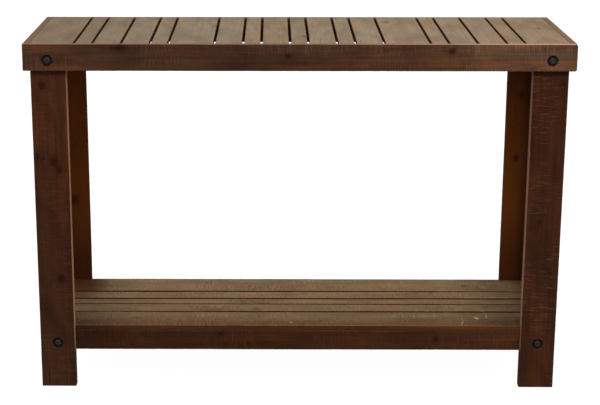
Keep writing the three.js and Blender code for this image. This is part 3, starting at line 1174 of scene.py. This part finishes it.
def build_legs(front_finish):
    sawn_finish = ("leg_wood", wood("stained_sawn_leg_with_highlight", SAWN_LEG_LOOK))
    # This material paints the rear legs' shaded inner faces lighter: painted light.
    rear_finish = ("leg_wood", wood("stained_rear_leg_with_painted_light", REAR_LEG_PAINTED_LIGHT_LOOK))
    front_legs = (("left", front_finish, 1.0), ("right", sawn_finish, 0.9))
    for index, (end, finish, side_highlight_share) in enumerate(front_legs):
        front, rear = f"front_{end}_leg", f"rear_{end}_leg"
        cutters = leg_cutters("front", end, -1)
        # pale is the painted highlight along the leg's side faces.
        pale, tone, hue = side_face_highlight(front, side_highlight_share), front_leg_tone(end), front_leg_hue(end)
        seed = board_seed("front_leg", index)
        plank(front, "z", FINE, SAWN, finish, seed, cutters, tone, hue, pale)
        cutters = leg_cutters("rear", end, 1)
        tone, inner = rear_leg_light_and_shade(rear, end), inner_face(rear)
        seed = board_seed("rear_leg", index)
        plank(rear, "z", MEDIUM, SAWN, rear_finish, seed, cutters, tone, other=inner)


def rail_tone(at):
    """The front and rear rails grow lighter to the right."""
    return 0.03 + 0.6 * at[:, 0]


def build_frame():
    leg_finish = ("leg_wood", wood("stained_leg_with_highlight", LEG_LOOK))
    frame_finish = ("frame_wood", wood("stained_frame", FRAME_LOOK))
    shelf_finish = ("shelf_wood", wood("weathered_shelf", SHELF_LOOK))
    build_legs(leg_finish)
    for index, (row, spacing) in enumerate((("front", FINE), ("rear", MEDIUM))):
        seed = board_seed("rail", index)
        plank(f"shelf_{row}_rail", "x", spacing, SAWN, leg_finish, seed, tone=rail_tone, hue=-0.8)
        plank(f"{row}_cleat", "x", COARSE, HIDDEN, frame_finish, board_seed("cleat", index))
    for index, end in enumerate(ENDS):
        seed, cutters = board_seed("end_rail", index), end_rail_cutters(end)
        plank(f"shelf_{end}_rail", "y", MEDIUM, HIDDEN, frame_finish, seed, cutters)
    for index, place in enumerate(("left", "middle", "right")):
        seed = board_seed("batten", index)
        plank(f"shelf_batten_{place}", "y", MEDIUM, HIDDEN, frame_finish, seed)
    for index, (tone, hue, left_stain) in enumerate(zip(SHELF_TONES, SHELF_HUES, SHELF_STAINS)):
        node = f"shelf_board_{index + 1}"
        outer_row = {0: ROWS[0], 4: ROWS[1]}.get(index)
        cutters = notch_cutters(*outer_row) if outer_row else ()
        tone, hue = shelf_tone_and_shade(node, tone), shelf_hue(hue)
        seed, stain = board_seed("shelf_board", index), shelf_stain(node, left_stain)
        plank(node, "x", SHELF_SPACING, TOP, shelf_finish, seed, cutters, tone, hue, stain)


def build_fasteners():
    head = steel("bolt_steel", (0.026, 0.026, 0.030), (0.058, 0.059, 0.067), (0.16, 0.165, 0.18), 0.6)
    ring = steel("washer_steel", (0.003, 0.003, 0.003), (0.008, 0.007, 0.007), (0.016, 0.015, 0.016), 0.3)
    for row, side in ROWS:
        for index, end in enumerate(ENDS):
            for kind, turn in HEAD_TURNS.items():
                bolt(f"{kind}_bolt_{row}_{end}", side, head, turn + TURN_TO_RIGHT * index)
                washer(f"{kind}_washer_{row}_{end}", side, ring)


# ---- Floor, light and camera ----
def add_floor():
    """A pale floor that glows a little, so that it stays pale under the bench."""
    mesh = bpy.data.meshes.new("floor")
    size = 40.0
    corners = [(-size, -size, 0), (size, -size, 0), (size, size, 0), (-size, size, 0)]
    mesh.from_pydata(corners, [], [(0, 1, 2, 3)])
    floor = bpy.data.objects.new("floor", mesh)
    bpy.context.scene.collection.objects.link(floor)
    material = bpy.data.materials.new("pale_floor")
    material.use_nodes = True
    shader = material.node_tree.nodes["Principled BSDF"]
    shader.inputs["Base Color"].default_value = (0.2, 0.2, 0.2, 1)
    shader.inputs["Roughness"].default_value = 0.9
    shader.inputs["Specular IOR Level"].default_value = 0.1
    shader.inputs["Emission Color"].default_value = (1, 1, 1, 1)
    shader.inputs["Emission Strength"].default_value = 0.96
    mesh.materials.append(material)
    floor.visible_diffuse = False
    floor.visible_glossy = False


def add_area_light(name, place, target, size, power):
    data = bpy.data.lights.new(name, "AREA")
    data.shape = "RECTANGLE"
    data.size, data.size_y = size
    data.energy = power
    light = bpy.data.objects.new(name, data)
    light.location = place
    light.rotation_euler = (Vector(target) - Vector(place)).to_track_quat("-Z", "Y").to_euler()
    bpy.context.scene.collection.objects.link(light)


def add_light():
    """A bright ceiling, dimmer walls and a dim return from below, with one soft light in front."""
    world = bpy.data.worlds.new("studio")
    bpy.context.scene.world = world
    world.use_nodes = True
    tree = world.node_tree
    background = tree.nodes["Background"]
    direction = tree.nodes.new("ShaderNodeTexCoord")
    parts = tree.nodes.new("ShaderNodeSeparateXYZ")
    half = tree.nodes.new("ShaderNodeMath")
    half.operation = "MULTIPLY_ADD"
    half.inputs[1].default_value = 0.5
    half.inputs[2].default_value = 0.5
    ramp = tree.nodes.new("ShaderNodeValToRGB")
    tree.links.new(direction.outputs["Generated"], parts.inputs[0])
    tree.links.new(parts.outputs["Z"], half.inputs[0])
    tree.links.new(half.outputs[0], ramp.inputs[0])
    tree.links.new(ramp.outputs[0], background.inputs["Color"])
    elements = ramp.color_ramp.elements
    elements.new(0.5)
    elements.new(0.62)
    for element, (position, grey) in zip(elements, ((0.0, 0.12), (0.48, 0.30), (0.62, 0.75), (1.0, 1.0))):
        element.position = position
        element.color = (grey, grey, grey, 1)
    background.inputs["Strength"].default_value = 0.8
    add_area_light("key", (0.6, -3.0, 3.4), (0, 0, 0.5), (1.8, 1.2), 70)


def add_camera():
    data = bpy.data.cameras.new("camera")
    data.lens = 92.7
    data.sensor_width = 36
    data.shift_x = 0.0667
    data.clip_end = 200
    camera = bpy.data.objects.new("camera", data)
    camera.location = (-0.0615, -3.5532, 1.3779)
    turned_left, down = 0.433, 15.458
    camera.rotation_euler = (math.radians(90 - down), 0, math.radians(turned_left))
    bpy.context.scene.collection.objects.link(camera)
    bpy.context.scene.camera = camera
    bpy.context.scene.view_settings.view_transform = "Standard"


build_top()
build_frame()
build_fasteners()
add_floor()
add_light()
add_camera()
